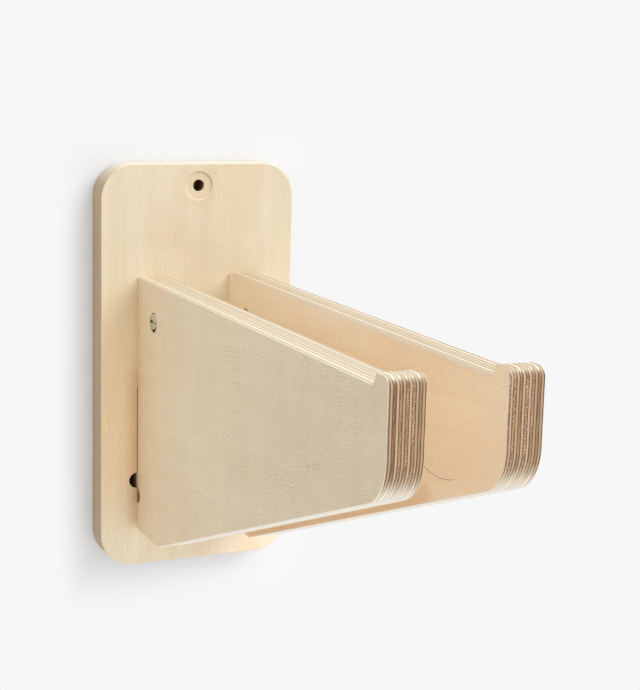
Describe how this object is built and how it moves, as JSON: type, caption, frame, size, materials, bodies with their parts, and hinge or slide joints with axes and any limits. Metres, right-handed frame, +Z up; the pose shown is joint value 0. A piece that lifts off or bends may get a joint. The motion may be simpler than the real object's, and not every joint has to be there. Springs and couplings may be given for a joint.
{
  "type": "clamp rack",
  "caption": "Plywood wall rack for bar clamps: arms tenoned into a screwed-on back plate carry the clamps' heads on their top edges, behind a small raised lip.",
  "frame": {"origin": "centre of the back plate's back face, which lies on the wall", "axes": "+X to the right along the wall, +Y into the wall, +Z up; the arms stand out towards -Y"},
  "size_m": [0.12, 0.346, 0.242],
  "materials": {
    "birch_plywood": "sanded and clear-finished, satin",
    "zinc_plated_steel": "zinc-plated"
  },
  "bodies": {
    "root": {"backplate": "birch_plywood", "left_arm": "birch_plywood", "right_arm": "birch_plywood", "left_barrel_nut": "zinc_plated_steel", "right_barrel_nut": "zinc_plated_steel", "left_connector_bolt": "zinc_plated_steel", "right_connector_bolt": "zinc_plated_steel"}
  },
  "joints": []
}
